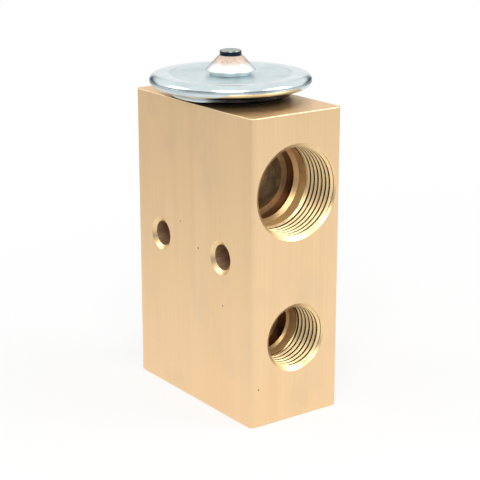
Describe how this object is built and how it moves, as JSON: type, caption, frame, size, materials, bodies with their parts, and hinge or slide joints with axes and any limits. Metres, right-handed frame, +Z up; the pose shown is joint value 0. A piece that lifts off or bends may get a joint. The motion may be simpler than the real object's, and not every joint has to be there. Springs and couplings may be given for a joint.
{
  "type": "thermostatic expansion valve",
  "caption": "Block-type expansion valve: a rectangular brass body with threaded ports and cross holes, and a round diaphragm head with a conical boss on top.",
  "frame": {"origin": "centre of the block's bottom face", "axes": "+Z up the stem towards the diaphragm head, -Y out of the face with the liquid and suction ports, +X along the cross holes"},
  "size_m": [0.0388, 0.0484, 0.085],
  "materials": {
    "drawn_brass": "drawn bar, fine lines along its length",
    "polished_steel": "polished",
    "turned_steel": "turned",
    "plug_steel": "pressed and welded",
    "spring_steel": "bright",
    "ball_steel": "polished",
    "turned_brass": "turned",
    "sleeve_aluminium": "turned",
    "black_rubber": "matte"
  },
  "bodies": {
    "block": {"valve_block": "drawn_brass", "head_gasket": "black_rubber", "element_neck": "turned_steel", "lower_cover": "polished_steel", "diaphragm": "spring_steel", "upper_cover": "polished_steel", "charge_boss": "turned_steel", "charge_plug": "plug_steel", "rod_seal": "black_rubber", "seal_retainer": "spring_steel", "main_spring": "spring_steel"},
    "stem": {"follower_plate": "turned_brass", "sensing_sleeve": "sleeve_aluminium", "push_rod": "turned_steel", "valve_ball": "ball_steel", "ball_carrier": "turned_brass", "damper_ring": "spring_steel"},
    "spring_seat": {"spring_seat": "turned_brass"},
    "adjuster": {"adjusting_screw": "turned_brass", "adjuster_seal": "black_rubber"}
  },
  "joints": [
    {"name": "valve_stroke", "type": "slide", "parent": "block", "child": "stem", "axis": [0, 0, -1], "range_m": [0, 0.0008], "stiffness_N_per_m": 7000, "springref_m": -0.00005, "deforming": ["diaphragm", "main_spring"]},
    {"name": "seat_lift", "type": "slide", "parent": "block", "child": "spring_seat", "axis": [0, 0, 1], "range_m": [-0.001, 0.001], "deforming": ["main_spring"]},
    {"name": "screw_turn", "type": "hinge", "parent": "spring_seat", "child": "adjuster", "pos_m": [0, 0.002, 0.0052], "axis": [0, 0, 1], "range_deg": [-360, 360]}
  ],
  "couplings": [
    {"joint": "screw_turn", "follows": "seat_lift", "rad_per_m": 6283.2}
  ]
}
